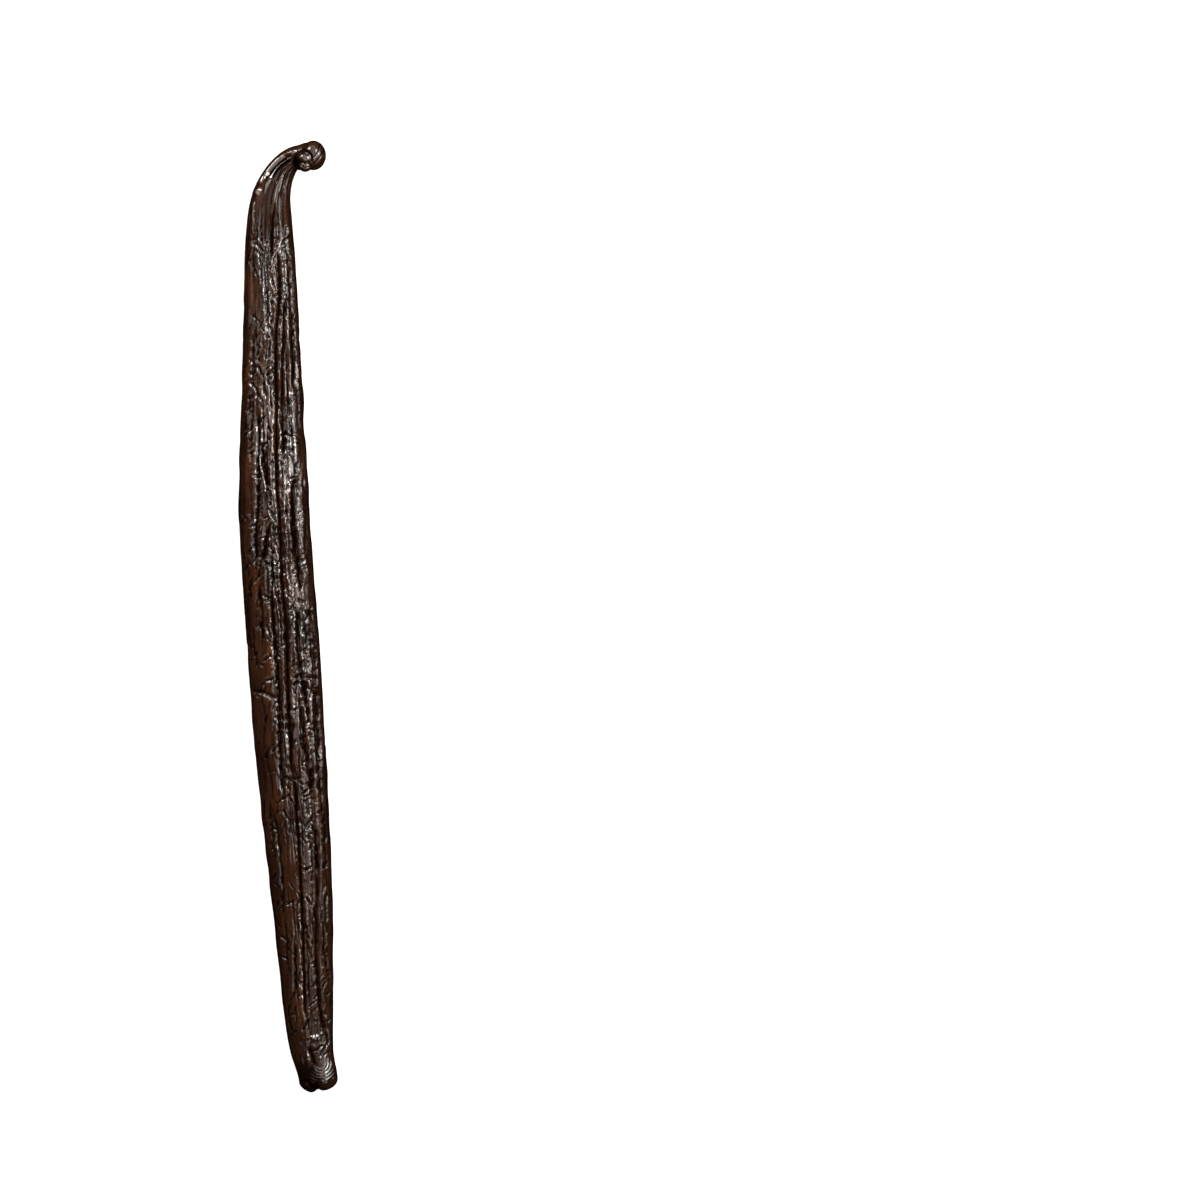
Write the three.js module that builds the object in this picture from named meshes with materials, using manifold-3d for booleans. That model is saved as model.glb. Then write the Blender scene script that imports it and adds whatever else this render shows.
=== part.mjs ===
// A cured vanilla pod, one solid, lying on a table with its ridged side up.
// Millimetres. +Y runs from the blossom end to the stem end, +X is to the right of
// someone looking down at the pod with the stem end away from them, +Z is up, and the
// table is z = 0. The origin is the middle of the pod's box, on the table.
import * as THREE from 'three';
import { mergeVertices } from 'three/addons/utils/BufferGeometryUtils.js';
import Module from 'manifold-3d';

// Driving dimensions.
const LENGTH = 165;         // blossom lip to the top of the stem hook
const WIDEST = 13;          // across the belly, just below the middle
const THICKEST = 8.4;       // curing flattens a pod to about two thirds of its width
const SETTLE = 0.025;       // share of its thickness by which the pod is pressed flat below
const SEGMENTS_AROUND = 54;
const RINGS_ALONG = 84;
const CAP_RINGS = 4;        // rings that round off each end of the body
const CAP_SHARE = 0.014;    // of the pod's length, under each rounded end

// The run of the pod: how far along it is, how far its middle lies to the side, its
// width and thickness as shares of the widest and thickest, and how far it is lifted.
// The last eight stations bend over into the hooked neck, which ends in a rounded curl.
const STATIONS = [
  { along: 0.012, aside: 5.2, width: 0.47, thickness: 0.52, lift: 0.0 },
  { along: 0.040, aside: 4.3, width: 0.55, thickness: 0.57, lift: 0.0 },
  { along: 0.083, aside: 3.5, width: 0.65, thickness: 0.64, lift: 0.0 },
  { along: 0.197, aside: 2.6, width: 0.79, thickness: 0.78, lift: 0.0 },
  { along: 0.348, aside: 0.5, width: 0.92, thickness: 0.93, lift: 0.0 },
  { along: 0.455, aside: -0.6, width: 0.99, thickness: 1.00, lift: 0.0 },
  { along: 0.538, aside: -1.6, width: 0.95, thickness: 0.98, lift: 0.0 },
  { along: 0.614, aside: -2.4, width: 0.96, thickness: 0.96, lift: 0.0 },
  { along: 0.765, aside: -2.7, width: 0.80, thickness: 0.86, lift: 0.0 },
  { along: 0.879, aside: -3.1, width: 0.67, thickness: 0.74, lift: 0.2 },
  { along: 0.917, aside: -3.2, width: 0.62, thickness: 0.70, lift: 0.4 },
  { along: 0.933, aside: -3.0, width: 0.57, thickness: 0.66, lift: 0.6 },
  { along: 0.948, aside: -2.4, width: 0.47, thickness: 0.61, lift: 0.8 },
  { along: 0.963, aside: -1.5, width: 0.43, thickness: 0.57, lift: 1.0 },
  { along: 0.977, aside: -0.1, width: 0.37, thickness: 0.52, lift: 1.2 },
  { along: 0.984, aside: 1.6, width: 0.34, thickness: 0.50, lift: 1.3 },
  { along: 0.985, aside: 4.0, width: 0.39, thickness: 0.56, lift: 1.2 },
  { along: 0.979, aside: 6.4, width: 0.36, thickness: 0.52, lift: 1.2 },
];

// The deep creases of the shown side. A path gives [share along the pod, share across
// its width from the left edge], and a crease fades out at both ends of its path.
const CREASES = [
  {
    depth: 1.1, halfWidth: 0.8, path: [
      [0.965, 0.62], [0.90, 0.54], [0.87, 0.68], [0.82, 0.66], [0.79, 0.58], [0.71, 0.57],
      [0.63, 0.55], [0.59, 0.58], [0.52, 0.54], [0.35, 0.49], [0.26, 0.50], [0.17, 0.47],
      [0.04, 0.42],
    ],
  },
  { depth: 0.7, halfWidth: 0.6, path: [[0.84, 0.80], [0.78, 0.69], [0.72, 0.67], [0.65, 0.66]] },
  { depth: 0.7, halfWidth: 0.6, path: [[0.65, 0.80], [0.59, 0.76], [0.56, 0.80], [0.51, 0.80]] },
  { depth: 0.8, halfWidth: 0.7, path: [[0.69, 0.29], [0.65, 0.38], [0.63, 0.50]] },
  { depth: 0.8, halfWidth: 0.7, path: [[0.61, 0.45], [0.58, 0.34], [0.55, 0.21]] },
  { depth: 0.6, halfWidth: 0.6, path: [[0.72, 0.27], [0.62, 0.26], [0.55, 0.21], [0.47, 0.22]] },
  { depth: 0.8, halfWidth: 0.6, path: [[0.53, 0.40], [0.43, 0.37], [0.36, 0.34], [0.28, 0.33]] },
  {
    depth: 0.8, halfWidth: 0.6, path: [
      [0.52, 0.76], [0.46, 0.69], [0.41, 0.76], [0.36, 0.75], [0.25, 0.78], [0.18, 0.71],
      [0.08, 0.72],
    ],
  },
  { depth: 0.5, halfWidth: 0.6, path: [[0.22, 0.24], [0.15, 0.30], [0.09, 0.20]] },
];

// Folds that run across the pod, where it has bent and shrunk: share along at the fold's
// left and right end, and the shares across the width between which it runs.
const FOLDS = [
  { depth: 0.5, halfWidth: 1.7, from: [0.424, 0.0], to: [0.430, 0.5] },
  { depth: 0.4, halfWidth: 1.7, from: [0.436, 0.55], to: [0.440, 0.9] },
  { depth: 0.5, halfWidth: 1.7, from: [0.330, 0.25], to: [0.328, 0.7] },
];

// The low ridges all round, between and beside the deep creases.
const RIDGES = { count: 14, height: 0.5, wander: 0.5, waves: 5 };

// The lobes tucked into the curled stem end, and the two of the puckered blossom lip:
// centre, half sizes and the turn of each in degrees.
const LOBES = [
  { centre: [2.7, 78.3, 3.2], half: [1.5, 1.2, 1.9], turn: 35 },
  { centre: [3.8, 77.9, 3.4], half: [1.8, 1.1, 1.7], turn: 10 },
  { centre: [3.5, -79.4, 2.2], half: [1.9, 3.1, 2.1], turn: 8 },
  { centre: [6.2, -78.9, 2.4], half: [2.5, 3.4, 2.3], turn: -6 },
];

const smoothstep = THREE.MathUtils.smoothstep;

// The value of a path of [along, across] pairs at one place along the pod.
function acrossAt(path, along) {
  for (let i = 1; i < path.length; i += 1) {
    const [a, b] = [path[i - 1], path[i]];
    if (along <= a[0] && along >= b[0]) {
      return THREE.MathUtils.lerp(a[1], b[1], (a[0] - along) / (a[0] - b[0]));
    }
  }
  return null;
}

// How far the skin is pressed in by the deep creases.
function creaseDepth(along, angle, width) {
  const across = (1 + Math.cos(angle)) / 2;
  let depth = 0;
  for (const crease of CREASES) {
    const middle = acrossAt(crease.path, along);
    if (middle === null || Math.sin(angle) < 0) {
      continue;
    }
    const start = crease.path[0][0];
    const end = crease.path[crease.path.length - 1][0];
    const fade = smoothstep(start - along, 0, 0.03) * smoothstep(along - end, 0, 0.03);
    const reach = Math.abs(across - middle) * width / crease.halfWidth;
    depth = Math.max(depth, crease.depth * fade * Math.exp(-reach * reach));
  }
  return depth;
}

// How far the skin is pressed in by the folds that run across.
function foldDepth(along, angle) {
  const across = (1 + Math.cos(angle)) / 2;
  let depth = 0;
  for (const fold of FOLDS) {
    if (Math.sin(angle) < 0) {
      continue;
    }
    const share = (across - fold.from[1]) / (fold.to[1] - fold.from[1]);
    const middle = THREE.MathUtils.lerp(fold.from[0], fold.to[0], share);
    const fade = smoothstep(share, -0.15, 0.1) * smoothstep(1 - share, -0.15, 0.1);
    const reach = (along - middle) * LENGTH / fold.halfWidth;
    depth = Math.max(depth, fold.depth * fade * Math.exp(-reach * reach));
  }
  return depth;
}

// How far the skin stands out in rounded ridges with narrow valleys between them.
function ridgeHeight(along, angle) {
  const wander = RIDGES.wander * Math.sin(2 * Math.PI * RIDGES.waves * along + 2 * angle);
  return RIDGES.height * (Math.abs(Math.sin(RIDGES.count * angle / 2 + wander)) - 0.6);
}

// The outline of a rod of radius 1 and length 1 with rounded ends, from pole to pole.
function unitProfile() {
  const cap = [];
  for (let i = 0; i < CAP_RINGS; i += 1) {
    const turn = i / CAP_RINGS * Math.PI / 2;
    cap.push(new THREE.Vector2(Math.sin(turn), CAP_SHARE * (1 - Math.cos(turn))));
  }
  const shaft = [];
  for (let i = 0; i <= RINGS_ALONG; i += 1) {
    shaft.push(new THREE.Vector2(1, THREE.MathUtils.lerp(CAP_SHARE, 1 - CAP_SHARE, i / RINGS_ALONG)));
  }
  const farCap = cap.map((point) => new THREE.Vector2(point.x, 1 - point.y)).reverse();
  return [...cap, ...shaft, ...farCap];
}

// The closed body: a lathe of rings, each then moved to its place on the bent middle line.
function podBody() {
  const middle = new THREE.CatmullRomCurve3(STATIONS.map((s) => new THREE.Vector3(
    s.aside, (s.along - 0.5) * LENGTH, s.lift + s.thickness * THICKEST * (0.5 - SETTLE))));
  const sizes = new THREE.CatmullRomCurve3(STATIONS.map((s) => new THREE.Vector3(
    s.width * WIDEST / 2, s.thickness * THICKEST / 2, 0)), false, 'catmullrom', 0.5);

  const body = new THREE.LatheGeometry(unitProfile(), SEGMENTS_AROUND);

  const place = body.attributes.position;
  for (let i = 0; i < place.count; i += 1) {
    const share = THREE.MathUtils.clamp(place.getY(i), 0, 1);
    const angle = Math.atan2(place.getZ(i), place.getX(i));
    const spread = Math.hypot(place.getX(i), place.getZ(i));
    const run = middle.getUtoTmapping(share);
    const centre = middle.getPoint(run);
    const heading = middle.getTangent(run).setZ(0).normalize();
    const half = sizes.getPoint(run);
    const along = centre.y / LENGTH + 0.5;
    const slim = half.x * 2 / WIDEST;
    const relief = slim * ridgeHeight(along, angle) - creaseDepth(along, angle, half.x * 2)
      - foldDepth(along, angle);
    const sideways = spread * Math.cos(angle) * (half.x + relief);
    const upward = spread * Math.sin(angle) * (half.y + relief);
    place.setXYZ(i,
      centre.x + sideways * heading.y,
      centre.y - sideways * heading.x,
      Math.max(centre.z + upward, 0));
  }
  return body;
}

function lobe({ centre, half, turn }) {
  const shape = new THREE.SphereGeometry(1, 16, 10);
  shape.scale(...half);
  shape.rotateZ(THREE.MathUtils.degToRad(turn));
  shape.translate(...centre);
  return shape;
}

// Joining: a closed geometry becomes a solid once its shared corners are merged.
const wasm = await Module();
wasm.setup();

function solidOf(geometry) {
  const bare = geometry.clone();
  bare.deleteAttribute('normal');
  bare.deleteAttribute('uv');
  const merged = mergeVertices(bare, 1e-4);
  return new wasm.Manifold(new wasm.Mesh({
    numProp: 3,
    vertProperties: Float32Array.from(merged.attributes.position.array),
    triVerts: Uint32Array.from(merged.index.array),
  }));
}

function geometryOf(solid) {
  const mesh = solid.getMesh();
  const geometry = new THREE.BufferGeometry();
  geometry.setAttribute('position', new THREE.BufferAttribute(mesh.vertProperties, 3));
  geometry.setIndex(new THREE.BufferAttribute(mesh.triVerts, 1));
  geometry.computeVertexNormals();
  return geometry;
}

function vanillaPod() {
  let solid = solidOf(podBody());
  for (const shape of LOBES) {
    solid = solid.add(solidOf(lobe(shape)));
  }
  return geometryOf(solid);
}

const skin = new THREE.MeshStandardMaterial({ color: 0x2b1b13, roughness: 0.42, metalness: 0 });

const pod = new THREE.Mesh(vanillaPod(), skin);
pod.name = 'vanilla_pod';

const group = new THREE.Group();
group.add(pod);

export default group;
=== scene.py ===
"""A cured vanilla pod lying on a pale table, seen from straight above."""
import math

import bmesh
import bpy
import numpy as np
from mathutils import Matrix, Vector


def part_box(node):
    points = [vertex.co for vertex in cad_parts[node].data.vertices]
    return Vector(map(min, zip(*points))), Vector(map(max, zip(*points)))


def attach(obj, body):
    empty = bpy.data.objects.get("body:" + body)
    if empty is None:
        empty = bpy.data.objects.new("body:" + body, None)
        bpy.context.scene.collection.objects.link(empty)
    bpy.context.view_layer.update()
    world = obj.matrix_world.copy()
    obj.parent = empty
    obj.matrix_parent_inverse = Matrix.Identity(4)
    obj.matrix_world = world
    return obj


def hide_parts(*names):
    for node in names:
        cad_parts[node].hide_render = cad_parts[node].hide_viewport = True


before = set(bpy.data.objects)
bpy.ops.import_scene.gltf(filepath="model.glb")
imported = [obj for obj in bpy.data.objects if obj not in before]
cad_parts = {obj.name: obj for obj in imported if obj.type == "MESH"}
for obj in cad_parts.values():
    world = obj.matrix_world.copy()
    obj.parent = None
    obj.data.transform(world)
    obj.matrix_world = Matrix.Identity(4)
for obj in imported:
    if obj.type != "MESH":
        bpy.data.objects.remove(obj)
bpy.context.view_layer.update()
scene = bpy.context.scene

# The skin of the pod.
# A cured vanilla pod is a soft, flattened seed case, whose oily wall has shrunk into folds
# as it dried. It tapers to a blunt, puckered blossom end, and at the stem end its neck
# bends over and rolls in on itself.
MM = 0.001
low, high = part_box("vanilla_pod")
POD_LENGTH = high[1] - low[1]
WIDEST = 0.746 * (high[0] - low[0])
THICKEST = 1.04 * (high[2] - low[2])

# Each row: share along, middle to the side in mm, width and thickness as shares of the
# widest and the thickest, lift off the table in mm. The last rows run in under the knob.
STATIONS = [
    (-0.002, 5.25, 0.52, 0.50, 0.0),
    (0.014, 5.20, 0.525, 0.54, 0.0),
    (0.026, 4.70, 0.53, 0.55, 0.0),
    (0.045, 3.95, 0.585, 0.57, 0.0),
    (0.083, 3.45, 0.66, 0.64, 0.0),
    (0.197, 2.60, 0.815, 0.78, 0.0),
    (0.348, 0.48, 0.945, 0.93, 0.0),
    (0.455, -0.65, 0.99, 1.00, 0.0),
    (0.538, -1.65, 0.95, 0.98, 0.0),
    (0.614, -2.55, 0.95, 0.96, 0.0),
    (0.765, -2.85, 0.79, 0.86, 0.0),
    (0.879, -3.20, 0.67, 0.74, 0.2),
    (0.917, -3.30, 0.61, 0.70, 0.4),
    (0.942, -3.05, 0.52, 0.65, 0.5),
    (0.9605, -2.05, 0.43, 0.59, 0.7),
    (0.973, -0.86, 0.36, 0.53, 0.9),
    (0.9813, 0.36, 0.31, 0.47, 1.0),
    (0.9868, 1.66, 0.26, 0.43, 1.1),
    (0.9905, 2.60, 0.19, 0.42, 1.2),
    (0.9932, 3.40, 0.17, 0.40, 1.3),
    (0.9928, 4.40, 0.12, 0.36, 1.4),
]
# How far the limp pod settles onto the table, as a share of its thickness.
SETTLE = 0.025
# Points round the pod, closer together on the shown side, and faces along it.
AROUND = 100
TOP_DENSITY = 0.62
ALONG = 998
# How both ends round off: rings, and the length of each rounding.
END_RINGS = 14
BLUNT_END = 2.1 * MM
TUCKED_END = 0.9 * MM
# Steps of the run from end to end, those before it turns back in the curl, and how many
# it is smoothed over to each side for its direction.
STEPS = 2400
CLIMBING = 2250
SMOOTHED = 18


def cut_corners(points, times):
    """A row of points with its corners cut a few times over, so that it curves."""
    points = np.array(points, dtype=float)
    for _ in range(times):
        cut = np.empty((2 * len(points) - 2, points.shape[1]))
        cut[0::2] = points[:-1] * 0.75 + points[1:] * 0.25
        cut[1::2] = points[:-1] * 0.25 + points[1:] * 0.75
        points = np.concatenate([points[:1], cut, points[-1:]])
    return points


def ramp(values, start, end):
    """0 before the start, 1 past the end and a smooth rise between them."""
    t = np.clip((values - start) / (end - start), 0, 1)
    return t * t * (3 - 2 * t)


share, aside, width, thickness, rise = cut_corners(STATIONS, 5).T
station_run = np.concatenate([[0], np.cumsum(np.hypot(
    np.diff(aside * MM), np.diff(share) * POD_LENGTH))])
run = np.linspace(0, station_run[-1], STEPS)
mid_x = np.interp(run, station_run, aside) * MM
mid_y = (np.interp(run, station_run, share) - 0.5) * POD_LENGTH
half_w = np.interp(run, station_run, width) * WIDEST / 2
half_t = np.interp(run, station_run, thickness) * THICKEST / 2
lift = np.interp(run, station_run, rise) * MM
bell = np.exp(-0.5 * (np.arange(-SMOOTHED, SMOOTHED + 1) / (SMOOTHED / 3)) ** 2)
bell = bell / bell.sum()
lean_x, lean_y = (np.convolve(np.pad(np.gradient(row, run), SMOOTHED, "edge"), bell, "valid")
                  for row in (mid_x, mid_y))
lean = np.hypot(lean_x, lean_y)
lean_x, lean_y = lean_x / lean, lean_y / lean

# How far along the pod each step is, as a share, going on round the curl.
NECK = 0.917
neck_run = np.interp((NECK - 0.5) * POD_LENGTH, mid_y[:CLIMBING], run[:CLIMBING])
run_share = np.where(run < neck_run, mid_y / POD_LENGTH + 0.5,
                     NECK + (run - neck_run) / POD_LENGTH)

# Rings: closer together round the hook, from here on before its end, and at both ends.
HOOK_START = 17 * MM
HOOK_CROWDED = 13 * MM
crowd = np.cumsum(1 + ramp(run, run[-1] - HOOK_START, run[-1] - HOOK_CROWDED))
first, last = np.interp([BLUNT_END, run[-1] - TUCKED_END], run, crowd)
shaft = np.interp(np.linspace(first, last, ALONG + 1 - 2 * END_RINGS), crowd, run)
swing = np.arange(END_RINGS) / END_RINGS * math.pi / 2
ring_run = np.concatenate([BLUNT_END * (1 - np.cos(swing)), shaft,
                           run[-1] - TUCKED_END * (1 - np.cos(swing[::-1]))])
spread = np.concatenate([np.sin(swing), np.ones(len(shaft)), np.sin(swing[::-1])])[:, None]


def at_rings(row):
    """What a value given at each step of the run is at each ring."""
    return np.interp(ring_run, run, row)[:, None]


turn = np.arange(AROUND) / AROUND * 2 * math.pi
angle = (turn + TOP_DENSITY * np.cos(turn))[None, :]
sideways = spread * at_rings(half_w) * np.cos(angle)
upward = spread * at_rings(half_t) * np.sin(angle)
skin = np.stack([
    at_rings(mid_x) + sideways * at_rings(lean_y),
    at_rings(mid_y) - sideways * at_rings(lean_x),
    at_rings(lift) + at_rings(half_t) * (1 - 2 * SETTLE) + upward,
], axis=-1)
along = at_rings(run_share) + 0 * angle
across = (1 + np.cos(angle)) / 2 + 0 * along
top = ramp(np.sin(angle), -0.05, 0.45) + 0 * along
rim = np.exp(-(np.sin(angle) / 0.3) ** 2) + 0 * along
girth = np.clip(at_rings(half_w) / MM / 6, 0, 1) * (0.2 + 0.8 * spread)

# The blossom end is two puckered lips with a notch between them. All in mm: where the
# notch lies, how deep it is, how much shorter the right lip is, how far the left one
# stands out, and how much the right one is swollen.
NOTCH = 5.2
NOTCH_DEPTH = 0.75
RIGHT_LIP_SHORTER = 0.36
LEFT_LIP_OUT = 0.25
RIGHT_LIP_SWOLLEN = 0.5
tip = ramp(along, 0.035, 0.0)
beside = skin[..., 0] / MM - NOTCH
notched = NOTCH_DEPTH * np.exp(-(beside / 0.7) ** 2)
skin[..., 1] += tip * MM * (notched + RIGHT_LIP_SHORTER * ramp(beside, 0.2, 1.2) - LEFT_LIP_OUT)
skin[..., 2] += tip * MM * RIGHT_LIP_SWOLLEN * np.exp(-((beside - 1.6) / 1.2) ** 2) * top
plan_x, plan_y = skin[..., 0] / MM, skin[..., 1] / MM

# The deep creases of the shown side, where the wall has folded in as it dried. Each row:
# depth and half width in mm, then its path as shares along the pod and across it.
CREASES = [
    (0.9, 0.16, [(0.938, 0.60), (0.90, 0.55), (0.874, 0.53)]),
    (1.0, 0.15, [
        (0.885, 0.64), (0.873, 0.68), (0.843, 0.69), (0.795, 0.58), (0.753, 0.57), (0.711, 0.57),
        (0.679, 0.55), (0.626, 0.55), (0.591, 0.585), (0.538, 0.54), (0.504, 0.56), (0.468, 0.55),
        (0.416, 0.51), (0.332, 0.49), (0.321, 0.52), (0.258, 0.50), (0.205, 0.48), (0.142, 0.45),
        (0.075, 0.41),
    ]),
    (0.8, 0.14, [(0.84, 0.80), (0.795, 0.72), (0.753, 0.67), (0.658, 0.66)]),
    (0.6, 0.13, [(0.873, 0.88), (0.801, 0.88), (0.727, 0.85)]),
    (0.6, 0.13, [(0.79, 0.76), (0.74, 0.76), (0.70, 0.74)]),
    (0.9, 0.15, [(0.648, 0.79), (0.591, 0.76), (0.557, 0.80), (0.521, 0.80)]),
    (0.6, 0.12, [(0.647, 0.84), (0.622, 0.84)]),
    (0.9, 0.17, [(0.685, 0.30), (0.668, 0.34), (0.647, 0.38), (0.639, 0.42), (0.633, 0.50)]),
    (0.6, 0.13, [(0.721, 0.27), (0.622, 0.27), (0.601, 0.22), (0.575, 0.20), (0.553, 0.21)]),
    (0.9, 0.15, [(0.601, 0.45), (0.584, 0.36), (0.57, 0.33), (0.559, 0.26), (0.551, 0.21)]),
    (0.9, 0.15, [
        (0.532, 0.40), (0.511, 0.37), (0.468, 0.38), (0.412, 0.38), (0.363, 0.34), (0.306, 0.33),
    ]),
    (0.5, 0.13, [(0.538, 0.22), (0.468, 0.22)]),
    (0.8, 0.14, [(0.511, 0.75), (0.468, 0.70), (0.437, 0.72), (0.412, 0.76), (0.38, 0.79)]),
    (0.9, 0.14, [
        (0.412, 0.68), (0.391, 0.68), (0.353, 0.74), (0.317, 0.76), (0.258, 0.78), (0.222, 0.76),
        (0.163, 0.70), (0.096, 0.70), (0.079, 0.75), (0.045, 0.88),
    ]),
    (0.6, 0.13, [(0.422, 0.90), (0.338, 0.91)]),
    (0.7, 0.14, [(0.159, 0.80), (0.132, 0.86), (0.111, 0.95)]),
    (0.45, 0.13, [(0.163, 0.35), (0.132, 0.28), (0.105, 0.24), (0.094, 0.10), (0.090, -0.02)]),
    (0.5, 0.15, [(0.423, -0.02), (0.424, 0.12), (0.418, 0.25), (0.412, 0.38)]),
    (0.4, 0.13, [(0.437, 0.55), (0.435, 0.72), (0.432, 0.90)]),
    (0.5, 0.14, [(0.330, 0.26), (0.331, 0.40), (0.328, 0.50), (0.330, 0.66)]),
    (0.5, 0.13, [(0.20, 0.18), (0.27, 0.20), (0.30, 0.16)]),
]

# The valleys of the neck, the slit behind its knob and the folds of the blossom end, with
# paths in mm from the middle of the pod.
END_CREASES = [
    (1.1, 0.28, [(-4.45, 75.22), (-3.09, 77.39), (-1.74, 78.89), (-0.1, 79.98), (1.25, 80.38)]),
    (0.9, 0.18, [(-2.66, 75.55), (-2.22, 77.11), (-1.18, 78.24), (0.03, 78.94), (1.34, 79.42)]),
    (0.4, 0.12, [(-1.96, 74.68), (-1.27, 76.59), (-0.14, 77.98), (1.08, 78.85)]),
    (0.4, 0.12, [(-0.75, 73.64), (-0.23, 75.72), (0.47, 77.46), (1.25, 78.42)]),
    (0.4, 0.12, [(-0.05, 72.95), (0.3, 75.03), (0.82, 76.94), (1.42, 77.98)]),
    (0.5, 0.13, [(-1.09, 72.25), (-0.87, 73.99), (-0.38, 76.07), (0.03, 77.29)]),
    (1.2, 0.3, [(1.34, 80.15), (1.46, 79.2), (1.68, 78.16), (1.81, 77.46)]),
    (0.9, 0.2, [(3.42, -74.68), (3.84, -75.38), (4.31, -76.51), (4.55, -77.63), (4.98, -78.33)]),
    (1.0, 0.3, [(2.73, -80.07), (3.16, -81.11), (4.03, -82.15), (5.14, -82.85)]),
]

# What stands proud and catches the light: the two ridges of the neck and the swelling
# below them, thin cords between the creases, and short strokes gathered at the blossom
# end. Each row: height and half width in mm, then its path in mm.
CORDS = [
    (0.27, 0.40, [
        (-5.09, 75.12), (-4.48, 76.16), (-3.51, 77.53), (-2.14, 79.16), (-0.78, 79.98),
        (0.56, 80.66), (1.6, 81.02),
    ]),
    (0.30, 0.32, [(-3.44, 75.69), (-2.83, 76.99), (-1.74, 78.35), (-0.52, 79.16), (1.11, 79.86)]),
    (0.30, 0.75, [(-5.80, 73.0), (-5.15, 74.6)]),
    (0.10, 0.17, [(-1.53, 73.29), (-1.06, 74.94), (-0.66, 76.85)]),
    (0.17, 0.24, [(-5.94, 72.42), (-6.08, 69.12), (-5.87, 65.82)]),
    (0.20, 0.28, [(-6.83, 68.43), (-6.6, 70.17)]),
    (0.1, 0.19, [(-4.22, 48.98), (-4.74, 45.85), (-5.56, 43.59), (-5.68, 42.38)]),
    (0.09, 0.17, [(-4.34, 47.41), (-3.49, 46.03), (-3.25, 44.81), (-4.05, 43.42)]),
    (0.11, 0.2, [(-5.56, 39.95), (-4.59, 39.65), (-4.17, 38.38), (-4.46, 36.99), (-4.1, 36.13)]),
    (0.09, 0.17, [(-3.18, 36.56), (-4.1, 35.5), (-4.83, 34.04)]),
    (0.1, 0.19, [(-5.31, 33.69), (-5.45, 31.61), (-5.07, 28.66), (-4.71, 26.23), (-4.13, 24.49)]),
    (0.11, 0.2, [(-6.65, 27.88), (-5.31, 28.03)]),
    (0.13, 0.23, [(-3.56, 26.57), (-3.16, 25.97), (-2.83, 25.36)]),
    (0.13, 0.23, [(-7.85, -12.92), (-6.91, -12.99), (-5.87, -13.55), (-5.09, -14.59)]),
    (0.1, 0.19, [(0.12, -19.97), (-0.05, -22.4), (0.17, -28.48)]),
    (0.11, 0.2, [(2.22, -51.93), (2.24, -58.18), (2.54, -62.7), (2.64, -66.87)]),
    (0.1, 0.19, [(5.42, -66.69), (5.85, -67.74), (6.34, -68.95)]),
    (0.1, 0.19, [(3.39, -75.9), (3.61, -76.42), (3.99, -77.29)]),
    (0.20, 0.30, [(3.61, -73.9), (3.93, -73.12)]),
    (0.22, 0.30, [(4.12, -73.81), (4.45, -73.02), (4.72, -72.7)]),
    (0.20, 0.28, [(4.62, -73.88), (5, -73.05), (5.42, -72.63)]),
    (0.16, 0.24, [(5.35, -72.7), (6.01, -72.39), (6.46, -72.6)]),
    (0.18, 0.26, [(5.18, -73.71), (5.59, -73.26)]),
    (0.20, 0.30, [(3.99, -74.61), (4.27, -74.2)]),
    (0.18, 0.26, [(4.48, -74.68), (4.72, -74.16)]),
    (0.20, 0.32, [(2.92, -73.05), (2.99, -72.74)]),
    (0.20, 0.30, [(3.06, -74.09), (3.16, -73.74)]),
    (0.24, 0.40, [(5.28, -76.7), (5.84, -76.52)]),
    (0.22, 0.34, [(4.97, -77.29), (5.31, -77.04)]),
    (0.20, 0.30, [(3.37, -75.86), (3.58, -76.35), (3.93, -77.11)]),
]
# Grains of one size on the blossom end: where each starts and ends, in mm.
GRAIN_HEIGHT = 0.16
GRAIN_HALF_WIDTH = 0.26
GRAINS = [
    [(1.32, -70.9), (1.42, -70.69)],
    [(1.53, -75.34), (1.67, -75.06)],
    [(2.47, -77.25), (2.61, -76.97)],
    [(3.33, -67.74), (3.61, -67.21)],
    [(3.86, -68.19), (4.31, -68.43)],
    [(3.16, -67.04), (3.4, -66.52)],
]


def plan_path(points):
    """Places given as shares along and across the pod, in mm seen from above."""
    points = np.asarray(points)
    step = np.interp(points[:, 0], run_share, run)
    off = (points[:, 1] * 2 - 1) * np.interp(step, run, half_w)
    x = np.interp(step, run, mid_x) + off * np.interp(step, run, lean_y)
    y = np.interp(step, run, mid_y) - off * np.interp(step, run, lean_x)
    return np.stack([x, y], axis=1) / MM


def outward(points):
    """Unit normals of the skin, worked out from the neighbouring points."""
    lengthways = np.gradient(points, axis=0)
    crossways = np.roll(points, -1, axis=1) - np.roll(points, 1, axis=1)
    normal = np.cross(lengthways, crossways)
    normal = normal / np.maximum(np.linalg.norm(normal, axis=-1, keepdims=True), 1e-12)
    normal[0] = (0, -1, 0)
    normal[-1] = normal[-2].mean(axis=0)
    return normal


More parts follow.
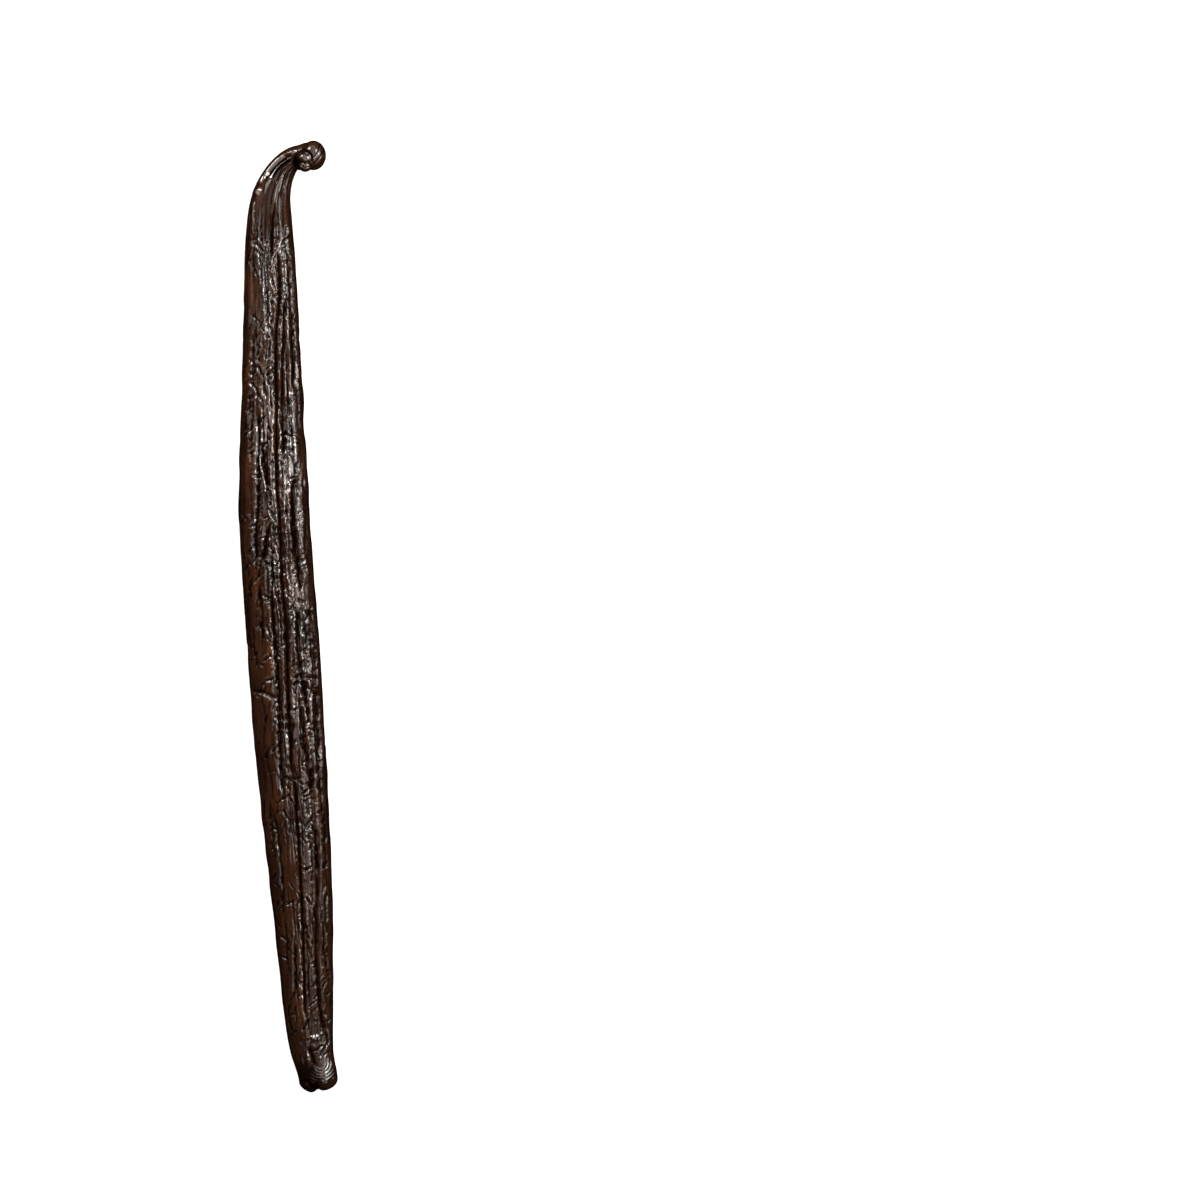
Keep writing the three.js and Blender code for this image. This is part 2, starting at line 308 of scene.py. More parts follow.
def waves(seed, along_mm, around_mm, band, lengthwise=9.0, drift=0.0, slant=None):
    """Random waves over the skin, as complex numbers: their angle is the phase.

    They are so long along and around the pod, give or take the band. A small lengthwise
    value leaves only those that run along it. With a slant, they all lean so far from it.
    """
    rows, columns = 2048, 256
    sheet_length, sheet_girth = 200.0, 34.0
    run_on_sheet, margin = 165, 3
    noise = np.fft.fft2(np.random.default_rng(seed).standard_normal((rows, columns)))
    f_along = np.fft.fftfreq(rows, sheet_length / rows)[:, None] * along_mm
    f_around = np.fft.fftfreq(columns, sheet_girth / columns)[None, :] * around_mm
    if slant is None:
        keep = np.exp(-0.5 * ((np.hypot(f_along, f_around) - 1) / band) ** 2)
        keep = keep * np.exp(-0.5 * (f_along / lengthwise) ** 2)
        keep = keep * ((f_around > 0) | ((f_around == 0) & (f_along > 0)))
    else:
        keep = np.exp(-0.5 * ((f_along - math.sin(slant)) ** 2
                              + (f_around - math.cos(slant)) ** 2) / band ** 2)
    sheet = np.fft.ifft2(noise * keep)
    sheet = sheet / np.sqrt((np.abs(sheet) ** 2).mean())
    row = (along * run_on_sheet + np.real(drift) + margin) / sheet_length * rows
    row = np.clip(row, 0, rows - 2)
    column = (angle / (2 * math.pi) + np.imag(drift) / sheet_girth) * columns
    r0, c0 = np.floor(row).astype(int), np.floor(column).astype(int)
    part_r, part_c = row - r0, column - c0
    c0, c1 = c0 % columns, (c0 + 1) % columns
    return ((sheet[r0, c0] * (1 - part_c) + sheet[r0, c1] * part_c) * (1 - part_r)
            + (sheet[r0 + 1, c0] * (1 - part_c) + sheet[r0 + 1, c1] * part_c) * part_r)


def pillows(field):
    """Rounded ridges with sharp valleys: 0 in the valleys, 1 on top."""
    return np.abs(np.cos(np.angle(field) / 2))


# Lines wander a little and change in width, except on the smooth neck. In mm and shares.
WANDER = 0.055
STEADY_WIDTH = 1.05
neck = ramp(along, 0.90, 0.95)
wobble = waves(11, 3.0, 3.0, 0.35) * WANDER * (1 - 0.8 * neck)
line_x, line_y = plan_x + wobble.real, plan_y + wobble.imag
ring_y = at_rings(mid_y)[:, 0] / MM
uneven = 0.75 + 0.5 * np.abs(waves(19, 3.0, 3.0, 0.4))
uneven = uneven + (STEADY_WIDTH - uneven) * neck


def on_stretch(start, end, x, y):
    """How far along a straight stretch each place is, 0 to 1, and how far off it."""
    dx, dy = end[0] - start[0], end[1] - start[1]
    to_x, to_y = x - start[0], y - start[1]
    t = np.clip((to_x * dx + to_y * dy) / (dx * dx + dy * dy), 0, 1)
    return t, np.hypot(to_x - t * dx, to_y - t * dy)


FAR_OFF = 9.0


def press(line, half_width, taper, reach, pitched=False, bolder=0.0):
    """How strongly a line bears on each point of the skin, how much its raised lips do,
    both 0 to 1, and how far off it is, for the rings that it passes.

    A pitched line has a sharp crest. A bolder one gets so much wider up the pod.
    """
    gone = np.concatenate([[0], np.cumsum(np.linalg.norm(np.diff(line, axis=0), axis=1))])
    rows = np.flatnonzero((ring_y > line[:, 1].min() - 5) & (ring_y < line[:, 1].max() + 5))
    rows = slice(rows[0], rows[-1] + 1)
    x, y = line_x[rows], line_y[rows]
    depth, lip, off = np.zeros_like(x), np.zeros_like(x), np.full_like(x, FAR_OFF)
    for i in range(len(line) - 1):
        (x0, y0), (x1, y1) = line[i], line[i + 1]
        near = ((x > min(x0, x1) - reach) & (x < max(x0, x1) + reach)
                & (y > min(y0, y1) - reach) & (y < max(y0, y1) + reach))
        t, gap = on_stretch(line[i], line[i + 1], x[near], y[near])
        here = gone[i] + t * (gone[i + 1] - gone[i])
        fade = ramp(np.minimum(here, gone[-1] - here), -0.1 * taper, taper)
        width_here = half_width * (0.5 + 0.5 * fade) * uneven[rows][near]
        width_here = width_here * (1 + bolder * ramp(y[near], -30, 20))
        off_line = gap / width_here
        profile = np.clip(1 - off_line, 0, 1) if pitched else np.exp(-off_line ** 1.25)
        depth[near] = np.maximum(depth[near], fade * profile)
        lip[near] = np.maximum(lip[near], fade * np.exp(-((off_line - 2.3) / 0.8) ** 2))
        off[near] = np.minimum(off[near], gap + 3 * (1 - fade))
    return rows, depth, lip, off


# The creases of the body lie a little further right and are a little thinner than their
# rows say, in mm and as a share, and the cords a little broader.
SIDE_SHIFT = (0.25, 0)
CREASE_BREADTH = 0.95
CORD_BREADTH = 1.15
raised = np.zeros_like(plan_x)
cord_rows = CORDS + [(GRAIN_HEIGHT, GRAIN_HALF_WIDTH, path) for path in GRAINS]
for tall, wide, path in cord_rows:
    line = cut_corners(path, 2)
    rows, height, _, _ = press(line, CORD_BREADTH * wide, 0.6, 1.5, pitched=True)
    raised[rows] = np.maximum(raised[rows], tall * height)

creased = np.zeros_like(plan_x)
painted_crease_shade = np.zeros_like(plan_x)
away = np.full_like(plan_x, FAR_OFF)
lines = [(deep, CREASE_BREADTH * wide, plan_path(cut_corners(path, 2)) + SIDE_SHIFT)
         for deep, wide, path in CREASES]
lines += [(deep, wide, cut_corners(path, 2)) for deep, wide, path in END_CREASES]
for deep, wide, line in lines:
    line_length = np.linalg.norm(np.diff(line, axis=0), axis=1).sum()
    rows, depth, _, off = press(line, wide, min(3, 0.3 * line_length), 3, bolder=0.5)
    creased[rows] = np.maximum(creased[rows], deep * depth)
    # Painted shade: the middle of each crease is painted black, as the shade in it.
    dark = ramp(depth, 0.35, 0.75) * min(1, 1.15 * deep)
    painted_crease_shade[rows] = np.maximum(painted_crease_shade[rows], dark)
    away[rows] = np.minimum(away[rows], off)

# Long thin furrows between the deep creases, as many as the wall had to fold to shrink.
FURROWS = 110
rng = np.random.default_rng(47)
furrowed = np.zeros_like(plan_x)
lipped = np.zeros_like(plan_x)
for _ in range(FURROWS):
    start = 0.88 - 0.80 * rng.uniform(0, 1) ** 1.6
    side = rng.uniform(0.12, 0.95)
    steps = np.linspace(0, rng.uniform(0.03, 0.13), 7)[:, None]
    sway = side + np.cumsum(rng.normal(0, 0.010, (7, 1)), axis=0)
    line = plan_path(cut_corners(np.concatenate([start + steps, sway], axis=1), 1))
    rows, depth, lip, _ = press(line, rng.uniform(0.09, 0.13), 2.5, 0.8)
    deep = rng.uniform(0.12, 0.32)
    furrowed[rows] = np.maximum(furrowed[rows], deep * depth)
    lipped[rows] = np.maximum(lipped[rows], 0.8 * deep * lip)

# Short wrinkles that branch off at a slant, deepest where they start and dying out on
# the panels between the creases. Those of the left side nearly all lean one way.
WRINKLES = 620
LEFT_SIDE = 0.35
rng = np.random.default_rng(31)
wrinkled = np.zeros_like(plan_x)
for _ in range(WRINKLES):
    start = np.array([rng.uniform(0.02, 0.90), rng.uniform(0.05, 0.97)])
    one_way = 0.8 if start[1] < LEFT_SIDE else 0.5
    slant = rng.uniform(0.15, 1.0) * rng.choice([-1, 1], p=[one_way, 1 - one_way])
    bend = rng.uniform(-0.5, 0.5)
    stretch = rng.uniform(0.8, 3.6) * math.cos(slant) + 0.5
    t = np.linspace(0, 1, 6)[:, None]
    base = plan_path([start])
    heading = math.pi / 2 * rng.choice([-1, 1]) + slant + bend * t
    line = base + np.cumsum(stretch / 5 * np.concatenate(
        [np.cos(heading), np.sin(heading)], axis=1), axis=0)
    rows, depth, lip, _ = press(line, rng.uniform(0.10, 0.16), 0.8, 0.7)
    deep = rng.uniform(0.10, 0.28)
    wrinkled[rows] = np.maximum(wrinkled[rows], deep * depth)
    lipped[rows] = np.maximum(lipped[rows], deep * lip)

# What the drying left between the folds: broad ridges, cords and rows of beads along the
# pod, and slanting and winding wrinkles that come and go over it.
drift = waves(21, 14.0, 10.0, 0.4) * 0.5
ridge = pillows(waves(3, 60.0, 2.6, 0.35, 0.8, drift))
small = pillows(waves(5, 18.0, 1.1, 0.35, 0.8, drift))
swells = waves(41, 9.0, 30.0, 0.5).real
cord_phase = np.angle(waves(29, 40.0, 1.3, 0.35, 0.9, drift))
cords = np.exp(-(cord_phase / 0.75) ** 2)
cords = cords * ramp(waves(33, 16.0, 4.0, 0.5).real, -0.5, 0.4)
bead = 0.5 + 0.5 * np.cos(np.angle(waves(7, 0.75, 1.8, 0.25, 9.0, drift)))
maze = pillows(waves(9, 0.75, 0.8, 0.2))
feather = pillows(waves(23, 0.62, 0.62, 0.3, slant=0.75))
other_feather = pillows(waves(25, 0.62, 0.62, 0.3, slant=-0.75))
leaning = ramp(waves(27, 9.0, 3.5, 0.5).real, -0.15, 0.15)
feather = feather * leaning + other_feather * (1 - leaning)
patchy = ramp(waves(13, 18.0, 5.0, 0.5).real, -0.4, 0.6)
crossed = ramp(waves(15, 9.0, 3.0, 0.5).real, -0.3, 0.6)

# Where on the pod each of them shows.
panel = ramp(across, 0.20, 0.40)
upper = ramp(along, 0.30, 0.60)
belly = np.exp(-((along - 0.52) / 0.10) ** 2)
shoulder = np.exp(-(away / 0.5) ** 2)
lips = np.exp(-((away - 0.45) / 0.2) ** 2)
stem = ramp(along, 0.85, 0.92)
stem_lines = pillows(waves(37, 40.0, 1.6, 0.3, 0.9)) * ramp(across, 0.35, 0.6)
smooth_tip = 1 - ramp(along, 0.055, 0.03) * ramp(across, 0.35, 0.5)

# How high each of them stands, in mm.
RIDGE_HEIGHT = 0.6
SMALL_RIDGE_HEIGHT = 0.10
STEM_LINE_HEIGHT = 0.13
SWELL_HEIGHT = 0.08
SHOULDER_DEPTH = 0.10
LIP_BEAD_HEIGHT = 0.06
CORD_HEIGHT = 0.10
CORD_BEAD_HEIGHT = 0.05
FEATHER_HEIGHT = 0.12
MAZE_HEIGHT = 0.07
FOLD_LIP_SHARE = 0.5
PUCKER_HEIGHT = 0.19

ridges = RIDGE_HEIGHT * (ridge - 0.75) * (1 - 0.87 * top) * (1 - 0.4 * rim)
small_ridges = SMALL_RIDGE_HEIGHT * (small - 0.7) * (1 - 0.5 * rim) * (1 - neck)
small_ridges = small_ridges * ramp(along, 0.0, 0.06)
stem_ridges = STEM_LINE_HEIGHT * (stem_lines - 0.7) * stem * top
rim_swells = SWELL_HEIGHT * swells * rim * ramp(along, 0.06, 0.12) * (1 - neck)
body_relief = girth * smooth_tip * (ridges + small_ridges + stem_ridges + rim_swells)
sunk_in = (creased + SHOULDER_DEPTH * shoulder) * (0.45 + 0.55 * girth) * (1 - 0.5 * rim)
crease_relief = raised * top * ramp(creased, 0.5, 0.2) - top * sunk_in
skin = skin + outward(skin) * ((body_relief + crease_relief) * MM)[..., None]

# Rings of fine wrinkles round the right-hand lip, as where a drawstring pulls.
PUCKER = (5.56, -77.69)
PUCKER_STEP = 0.53
from_x, from_y = plan_x - PUCKER[0], plan_y - PUCKER[1]
from_pucker = np.hypot(from_x, from_y)
facing_lip = (0.5 * from_x - 0.87 * from_y) / np.maximum(from_pucker, 0.1)
pucker_fade = ramp(from_pucker, 4.0, 3.6) * ramp(from_pucker, 0.5, 0.9)
pucker_fade = pucker_fade * ramp(facing_lip, 0.1, 0.6)
pucker = np.exp(-(np.abs((from_pucker / PUCKER_STEP - 0.2) % 1 - 0.5) / 0.22) ** 2)

# The open skin is what lies between the creases, off the rims, the neck and the pucker.
open_skin = top * (1 - np.clip(creased / 0.5, 0, 1)) * (1 - rim) * (1 - neck)
open_skin = open_skin * (0.3 + 0.7 * girth) * (1 - pucker_fade) * ramp(along, 0.005, 0.05)
lip_beads = LIP_BEAD_HEIGHT * (bead - 0.6) * np.maximum(lips, 0.3 * crossed * panel)
cord_rise = CORD_HEIGHT * (0.3 + 0.7 * upper) * (0.4 + 0.6 * panel)
beaded_cords = cords * (cord_rise + CORD_BEAD_HEIGHT * (bead - 0.6))
feathers = FEATHER_HEIGHT * (feather - 0.7) * panel * (0.15 + 0.85 * crossed)
feathers = feathers * (0.35 + 0.65 * belly)
mazes = MAZE_HEIGHT * (maze - 0.7) * patchy * panel * (0.2 + 0.8 * belly)
fold_lips = FOLD_LIP_SHARE * lipped * ramp(np.maximum(furrowed, wrinkled), 0.08, 0.02)
folds = fold_lips - furrowed - wrinkled * (0.9 + 0.3 * panel)
fine_relief = open_skin * (lip_beads + beaded_cords + feathers + mazes + folds)
pucker_rings = PUCKER_HEIGHT * (pucker - 0.4) * pucker_fade * top * (1 - rim)
fine_relief = fine_relief + pucker_rings
skin = skin + outward(skin) * (fine_relief * MM)[..., None]
skin[..., 2] = np.maximum(skin[..., 2], 0)
skin[0] = skin[0].mean(axis=0)
skin[-1] = skin[-1].mean(axis=0)

# What the finish of the skin needs to know about each point. First the painted valley
# shade: the skin is painted black where shade would fall, in spots lower than the skin
# round them, in the folds, between the rings of the pucker and the lines of the stem, on
# the flanks and on the lip that is turned away.
BLUR = 3
relief = body_relief + crease_relief + fine_relief
around_mean = relief.copy()
for shift in range(1, BLUR + 1):
    around_mean = around_mean + np.roll(relief, shift, 1) + np.roll(relief, -shift, 1)
around_mean = around_mean / (2 * BLUR + 1)
mean = around_mean.copy()
for shift in range(1, BLUR + 1):
    mean = mean + np.roll(around_mean, shift, 0) + np.roll(around_mean, -shift, 0)
low_spots = mean / (2 * BLUR + 1) - relief
flank = np.exp(-(np.sin(angle) / 0.38) ** 2)
left_lip = ramp(along, 0.045, 0.022) * ramp(across, 0.58, 0.45)
small_folds = np.maximum(0.9 * ramp(feather, 0.50, 0.15) * crossed * (0.35 + 0.65 * belly),
                         0.6 * ramp(maze, 0.45, 0.10) * patchy * (0.2 + 0.8 * belly))
small_folds = np.maximum(small_folds, 0.7 * ramp(small, 0.35, 0.12)) * panel
stem_valleys = ramp(stem_lines, 0.50, 0.20) * stem * top * ramp(across, 0.35, 0.5)
painted_valley_shade = np.max([
    np.clip((low_spots - 0.015) / 0.09, 0, 1),
    painted_crease_shade * top,
    np.clip(furrowed / 0.3 * open_skin, 0, 1),
    np.clip(wrinkled / 0.3 * open_skin, 0, 1),
    small_folds * open_skin,
    0.9 * flank * (1 - 0.4 * neck),
    0.92 * left_lip,
    0.85 * ramp(pucker, 0.7, 0.2) * pucker_fade,
    0.9 * stem_valleys,
], axis=0)
painted_valley_shade = painted_valley_shade * (1 - ramp(raised, 0.02, 0.10) * ramp(creased, 0.35, 0.15))

# The oily gloss: strongest in patches on the right of the middle, weak on the stem, full
# on the lips of the folds, the cords and the pucker.
gloss = (0.50 + 0.50 * panel) * (0.30 + 0.70 * ramp(along, 0.15, 0.60)) * (1 - rim)
gloss = gloss * (1 - 0.68 * ramp(along, 0.70, 0.78)) * (1 - 0.7 * ramp(along, 0.84, 0.90))
gloss = gloss * (0.40 + 0.60 * patchy) * (1 - 0.4 * ramp(along, 0.82, 0.87) * (1 - panel))
gloss = np.max([
    gloss,
    0.8 * cords * open_skin * (1 - 0.5 * ramp(along, 0.72, 0.80)),
    0.15 * neck,
    pucker_fade,
    0.95 * ramp(lipped, 0.05, 0.18) * open_skin * (0.5 + 0.5 * upper),
    ramp(raised, 0.02, 0.08),
], axis=0)

# The colour: amber patches down the left side, and darker towards the blossom end, on
# the left and by the stem.
amber = (1 - 0.6 * ramp(along, 0.45, 0.25)) * (1 - 0.7 * panel)
amber = amber * ramp(waves(17, 22.0, 5.0, 0.5).real, 0.2, 1.3)
darker = np.max([
    ramp(along, 0.45, 0.15) * (1 - 0.75 * panel),
    ramp(along, 0.09, 0.05),
    0.7 * ramp(along, 0.80, 0.90),
    0.65 * ramp(across, 0.32, 0.15),
], axis=0)
finish = {"painted_valley_shade": painted_valley_shade, "dull": 1 - np.clip(gloss, 0, 1), "amber": amber,
          "darker": darker, "slanted": panel * belly}
straight = np.stack([sideways, upward, at_rings(run) + 0 * angle], axis=-1)

bm = bmesh.new()
bmesh.ops.create_uvsphere(bm, u_segments=AROUND, v_segments=ALONG, radius=1)
layers = {name: bm.verts.layers.float.new(name) for name in finish}
straightened = bm.verts.layers.float_vector.new("straightened")
for vert in bm.verts:
    k = round(math.atan2(math.hypot(vert.co.x, vert.co.y), -vert.co.z) / math.pi * ALONG)
    j = round(math.atan2(vert.co.y, vert.co.x) / (2 * math.pi) * AROUND) % AROUND
    vert.co = skin[k, j]
    vert[straightened] = straight[k, j]
    for name, layer in layers.items():
        vert[layer] = finish[name][k, j]
bmesh.ops.recalc_face_normals(bm, faces=bm.faces)
mesh = bpy.data.meshes.new("vanilla_pod_skin")
bm.to_mesh(mesh)
bm.free()
mesh.shade_smooth()
pod = bpy.data.objects.new("vanilla_pod_skin", mesh)
scene.collection.objects.link(pod)

# Cured skin: nearly black brown, oily where it stands proud, dull in the creases, where it is
# also painted black as shade.
cured_skin = bpy.data.materials.new("cured_skin")
cured_skin.use_nodes = True
nodes, links = cured_skin.node_tree.nodes, cured_skin.node_tree.links
shader = nodes["Principled BSDF"]
shader.inputs["Specular IOR Level"].default_value = 0.0
shader.inputs["Coat Roughness"].default_value = 0.10


def node(kind, sockets=(), **settings):
    """A shader node with its settings made and its sockets linked or given a value."""
    made = nodes.new(kind)
    for name, value in settings.items():
        setattr(made, name, value)
    for index, value in enumerate(sockets):
        if isinstance(value, bpy.types.NodeSocket):
            links.new(value, made.inputs[index])
        elif value is not None:
            made.inputs[index].default_value = value
    return made


def math_node(operation, *sockets):
    """The clamped result of one sum."""
    return node("ShaderNodeMath", sockets, operation=operation, use_clamp=True).outputs[0]


def times(one, other):
    return math_node("MULTIPLY", one, other)


def rest_of(share_taken):
    return math_node("SUBTRACT", 1.0, share_taken)


def blend(amount, one, other):
    """The first colour turned into the other by this amount."""
    made = node("ShaderNodeMix", data_type="RGBA")
    for name, value in (("Factor_Float", amount), ("A_Color", one), ("B_Color", other)):
        socket = next(s for s in made.inputs if s.identifier == name)
        if isinstance(value, bpy.types.NodeSocket):
            links.new(value, socket)
        else:
            socket.default_value = value
    return next(s for s in made.outputs if s.identifier == "Result_Color")


painted_valley_shade_out, dull_out, amber_out, darker_out, slanted_out = (
    node("ShaderNodeAttribute", attribute_name=name).outputs["Fac"] for name in finish)
skin_place = node("ShaderNodeAttribute", attribute_name="straightened").outputs["Vector"]


def streaks(size, stretch, lean_by=0.0, detail=1.0):
    """Noise drawn out along the pod, or along a line that leans from it."""
    turned = node("ShaderNodeVectorRotate", (skin_place, None, None, lean_by),
                  rotation_type="Y_AXIS")
    scaled = node("ShaderNodeVectorMath",
                  (turned.outputs[0], (1 / size, 1 / size, stretch / size)),
                  operation="MULTIPLY")
    return node("ShaderNodeTexNoise", (scaled.outputs[0], None, 1.0, detail)).outputs["Fac"]


def hairlines(field, sharpness):
    """Thin lines where a noise crosses its middle: 1 on the lines, 0 between them."""
    off_middle = node("ShaderNodeMath", (field, 0.5), operation="SUBTRACT").outputs[0]
    return rest_of(times(math_node("ABSOLUTE", off_middle), sharpness))


def steeper(field, start, end):
    """The same values with this range of them stretched to 0..1."""
    made = node("ShaderNodeMapRange", (field, start, end), interpolation_type="SMOOTHSTEP")
    return made.outputs[0]


# The finest wrinkles: along the pod, and on its shown middle slanting and winding.
lengthwise = hairlines(streaks(0.8 * MM, 0.10), 14)
leaning_left = hairlines(streaks(0.6 * MM, 0.25, 0.75), 12)
leaning_right = hairlines(streaks(0.6 * MM, 0.25, -0.75), 12)
left_here = steeper(streaks(3.0 * MM, 0.5), 0.46, 0.54)
slanting = math_node("ADD", times(leaning_left, left_here),
                     times(leaning_right, rest_of(left_here)))
slanting = times(slanting, math_node("ADD", 0.35, slanted_out))
winding = hairlines(streaks(0.62 * MM, 1.0), 9)
winding = times(winding, steeper(streaks(5.0 * MM, 0.5), 0.50, 0.58))
fine_lines = math_node("MAXIMUM", slanting, times(winding, slanted_out))
fine_lines = math_node("MAXIMUM", lengthwise, fine_lines)
fine_lines = times(fine_lines, rest_of(times(darker_out, 0.75)))

BROWN = (0.0125, 0.0047, 0.0022, 1)
DARK_BROWN = (0.0058, 0.0022, 0.0011, 1)
DARKEST_BROWN = (0.0046, 0.0019, 0.001, 1)
AMBER = (0.026, 0.0078, 0.0022, 1)
PAINTED_SHADE_BLACK = (0.0008, 0.0004, 0.0003, 1)
patches = steeper(streaks(3.0 * MM, 0.40, 0.0, 2.0), 0.36, 0.64)
colour = blend(patches, DARK_BROWN, BROWN)
colour = blend(times(darker_out, 0.8), colour, DARKEST_BROWN)
colour = blend(times(amber_out, 0.5), colour, AMBER)
# Painted shade: the finest wrinkles and the valleys are painted near black, as the shade that
# falls in them.
colour = blend(times(fine_lines, 0.60), colour, PAINTED_SHADE_BLACK)
colour = blend(painted_valley_shade_out, colour, PAINTED_SHADE_BLACK)
links.new(colour, shader.inputs["Base Color"])

# The oil thins out in the folds and where the skin turns away.
turned_away = node("ShaderNodeLayerWeight", (0.5,)).outputs["Facing"]
turned_away = steeper(turned_away, 0.13, 0.34)
shine = times(rest_of(dull_out), rest_of(painted_valley_shade_out))
shine = times(shine, rest_of(turned_away))
shine = times(shine, rest_of(times(fine_lines, 0.95)))
links.new(shine, shader.inputs["Coat Weight"])
links.new(math_node("SUBTRACT", 0.95, times(shine, 0.55)), shader.inputs["Roughness"])

HAIRLINE_DEPTH = 0.065 * MM
bump = node("ShaderNodeBump", (1.0, HAIRLINE_DEPTH), invert=True)
links.new(fine_lines, bump.inputs["Height"])
links.new(bump.outputs["Normal"], shader.inputs["Normal"])
mesh.materials.append(cured_skin)

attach(pod, "root")
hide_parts("vanilla_pod")

# The rolled stem end.
# The last of the stem is rolled up on itself like a small fist: a broad knob outside and
# two lobes tucked into it, with a stub behind them painted black as the shade of the slit.
# Part of the same skin, dried hard onto the neck. Each row: middle and half sizes in mm,
# turn in degrees, how much of it is painted black as shade, and how dull it is.
CURL_LOBES = [
    ((4.40, 80.05, 3.7), (2.20, 2.58, 3.5), 0, 0, 0.55),
    ((3.05, 79.45, 5.2), (1.34, 0.96, 1.6), -12, 0, 0.3),
    ((3.05, 78.20, 4.4), (1.17, 1.05, 2.1), 10, 0, 0.4),
    ((1.75, 78.60, 2.9), (0.60, 1.10, 1.9), 12, 1, 1),
]
# How much of its height the shown side of a lobe loses to the press of drying.
FLATTER_TOP = 0.25
# The height on a lobe, as a share, below which it is painted black as the shade of the slit.
SLIT_TOP = 0.35
# The folds between its knuckles: depth, half width and path in mm.
KNUCKLES = [
    (0.34, 0.15, [
        (1.68, 81.0), (2.21, 81.06), (3.02, 80.85), (3.84, 80.38), (4.31, 79.56), (4.24, 78.89),
    ]),
    (0.22, 0.11, [(5.59, 82.32), (5.45, 80.92), (5.05, 80.1), (4.52, 79.42)]),
    (0.22, 0.11, [(6.46, 81.11), (5.73, 79.7), (5.05, 78.89), (4.52, 78.35)]),
    (0.19, 0.1, [(6.29, 79.28), (5.45, 78.14), (4.64, 77.93)]),
    (0.14, 0.08, [(3.84, 82.5), (3.42, 81.73), (3.02, 81.2)]),
    (0.15, 0.09, [(2.38, 78.19), (3.02, 77.67), (3.84, 77.93), (4.1, 78.35)]),
    (0.12, 0.08, [(2.64, 78.76), (3.33, 78.36), (4.1, 78.78)]),
]


def gap_to(line, x, y):
    """How far each place is from a line of points, in mm."""
    return np.min([on_stretch(start, end, x, y)[1]
                   for start, end in zip(line[:-1], line[1:])], axis=0)


bm = bmesh.new()
curl_layers = {name: bm.verts.layers.float.new(name) for name in finish}
curl_straight = bm.verts.layers.float_vector.new("straightened")
for middle, halves, degrees, painted_shade, dull in CURL_LOBES:
    lobe = bmesh.ops.create_uvsphere(bm, u_segments=96, v_segments=72, radius=1)["verts"]
    heights = [vert.co.z for vert in lobe]
    for vert, height in zip(lobe, heights):
        vert.co.z -= FLATTER_TOP * max(0.0, height) ** 3
    shape = (Matrix.Translation(Vector(middle) * MM)
             @ Matrix.Rotation(math.radians(degrees), 4, "Z")
             @ Matrix.Diagonal((*(half * MM for half in halves), 1)))
    seen = np.array([(shape @ vert.co) / MM for vert in lobe])
    folded = np.zeros(len(lobe))
    for deep, wide, path in KNUCKLES:
        gap = gap_to(cut_corners(path, 2), seen[:, 0], seen[:, 1])
        folded = np.maximum(folded, deep * np.exp(-(gap / wide) ** 1.5))
    for vert, fold, height in zip(lobe, folded, heights):
        fold = fold * min(1.0, max(0.0, (height - 0.1) / 0.3))
        vert.co *= 1 - fold / halves[2]
        sunk = (SLIT_TOP - height) * 2
        # Painted shade: a lobe is painted black in its folds, low down in the slit, and all over
        # on the stub.
        vert[curl_layers["painted_valley_shade"]] = min(1.0, max(0.0, fold / 0.16 - 0.1, sunk, painted_shade))
        vert[curl_layers["dull"]] = dull
        vert[curl_layers["darker"]] = 0.7
        vert[curl_straight] = vert.co * halves[0] * MM
    bmesh.ops.transform(bm, matrix=shape, verts=lobe)
bmesh.ops.recalc_face_normals(bm, faces=bm.faces)
curl_mesh = bpy.data.meshes.new("stem_curl")
bm.to_mesh(curl_mesh)
bm.free()
curl_mesh.shade_smooth()
curl_mesh.materials.append(cured_skin)
curl = bpy.data.objects.new("stem_curl", curl_mesh)
scene.collection.objects.link(curl)
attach(curl, "root")

# The table.
# A plain matt white top, large enough to fill the view. It glows a little, as an
# overexposed sheet does, so that only a faint shadow lies beside the pod.
bm = bmesh.new()
bmesh.ops.create_grid(bm, x_segments=1, y_segments=1, size=3)
floor_mesh = bpy.data.meshes.new("table_top")
bm.to_mesh(floor_mesh)
bm.free()
table_top = bpy.data.objects.new("table_top", floor_mesh)
scene.collection.objects.link(table_top)
pale = bpy.data.materials.new("pale_table")
pale.use_nodes = True
pale_shader = pale.node_tree.nodes["Principled BSDF"]
pale_shader.inputs["Base Color"].default_value = (0.12, 0.12, 0.12, 1)
pale_shader.inputs["Roughness"].default_value = 0.9
pale_shader.inputs["Specular IOR Level"].default_value = 0.1
pale_shader.inputs["Emission Color"].default_value = (1, 1, 1, 1)
pale_shader.inputs["Emission Strength"].default_value = 0.9
floor_mesh.materials.append(pale)

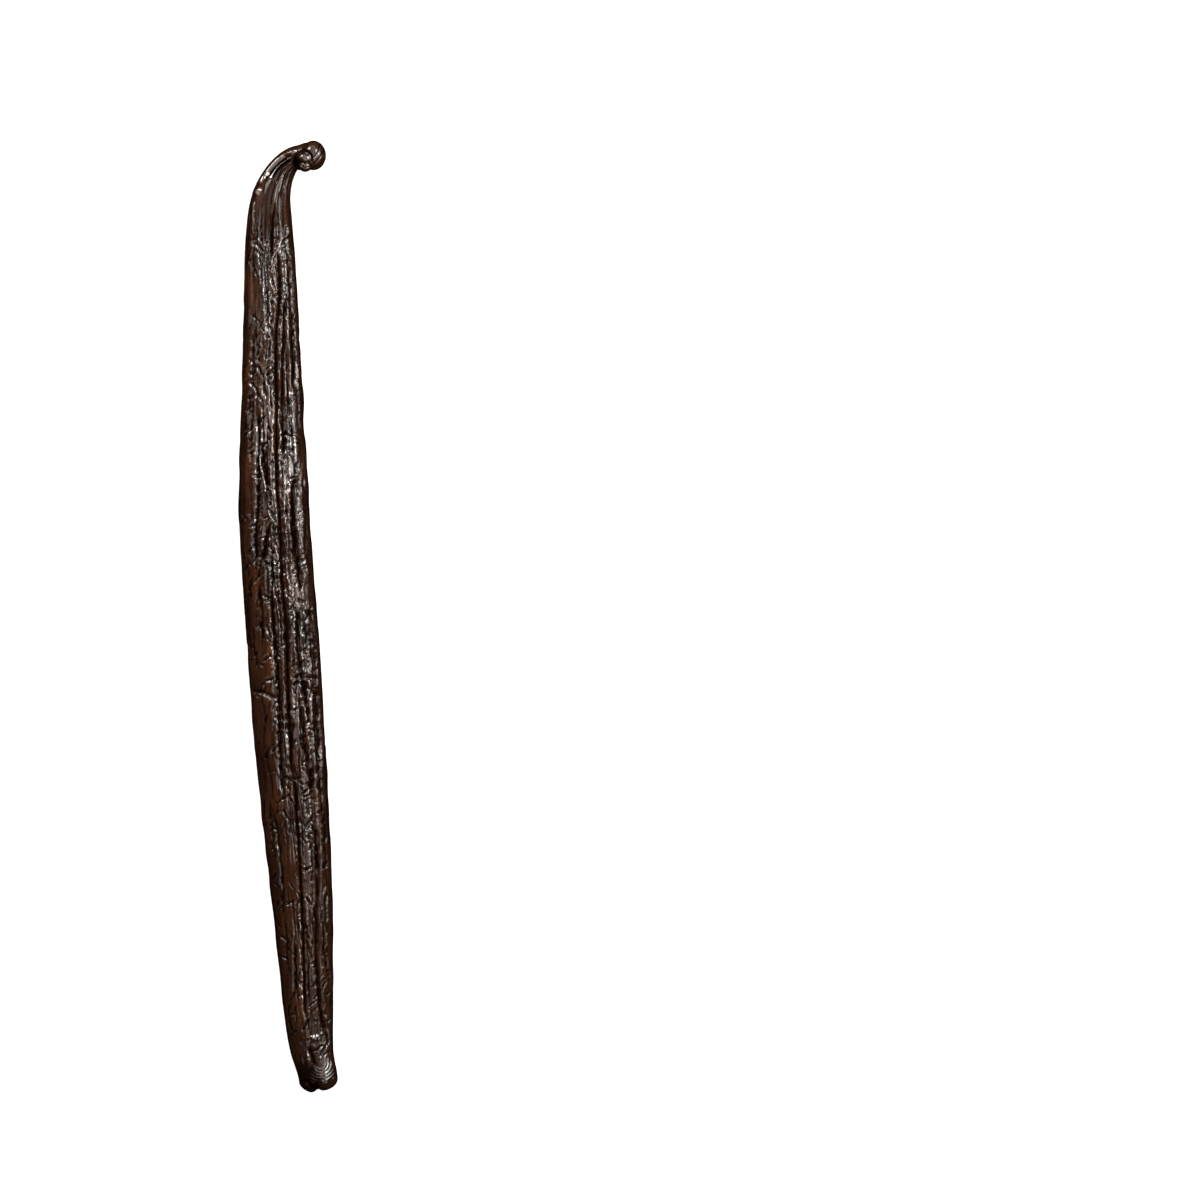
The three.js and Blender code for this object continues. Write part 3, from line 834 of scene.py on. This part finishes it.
# The light.
# Soft boxes round the camera in a dim room: a broad one overhead for the grey sheen of
# the flat panels, a key and a small one from the right for the sparks, two past the stem
# end for the streaks on the neck and the knob, and a tall narrow one at each side.
LAMP_COLOUR = (1.0, 0.955, 0.90)
scene.view_settings.view_transform = "Standard"
scene.view_settings.look = "None"
world = bpy.data.worlds.new("studio")
scene.world = world
world.use_nodes = True
world.node_tree.nodes["Background"].inputs["Color"].default_value = (1, 1, 1, 1)
world.node_tree.nodes["Background"].inputs["Strength"].default_value = 0.05


def softbox(name, stand, aim, size, watts):
    """A soft box that stands here and is aimed there, in metres."""
    light = bpy.data.lights.new(name, "AREA")
    light.shape = "RECTANGLE"
    light.size, light.size_y = size
    light.energy = watts
    light.color = LAMP_COLOUR
    box = bpy.data.objects.new(name, light)
    box.location = stand
    box.rotation_euler = (Vector(aim) - Vector(stand)).to_track_quat("-Z", "Y").to_euler()
    scene.collection.objects.link(box)


softbox("overhead", (0.40, 0.12, 1.45), (0, 0, 0), (1.90, 1.90), 56)
softbox("key", (0.52, 0.22, 0.58), (0, 0.02, 0), (0.66, 0.66), 13)
softbox("spark", (0.30, 0.25, 0.62), (0, 0.02, 0), (0.20, 0.20), 10)
softbox("upper_left", (-0.40, 0.52, 0.60), (0, 0.04, 0), (0.32, 0.32), 15)
softbox("top_end", (-0.20, 0.90, 0.66), (0, 0.05, 0), (1.0, 0.70), 10)
softbox("left_edge", (-0.60, 0.22, 0.30), (0, 0.04, 0), (0.26, 0.80), 3.2)
softbox("right_edge", (0.62, 0.10, 0.22), (0, 0.02, 0), (0.16, 0.80), 4.5)

# The camera.
# Straight above, far off with a long lens, so that the pod is seen nearly flat.
LENS = 200
SENSOR = 36
VIEW_WIDTH = 208.4 * MM
VIEW_MIDDLE = (54.2 * MM, 2.8 * MM)
camera = bpy.data.cameras.new("photo_view")
camera.lens = LENS
camera.sensor_width = SENSOR
camera.clip_end = 10
camera_object = bpy.data.objects.new("photo_view", camera)
camera_object.location = (*VIEW_MIDDLE, VIEW_WIDTH * LENS / SENSOR + THICKEST / 2)
scene.collection.objects.link(camera_object)
scene.camera = camera_object
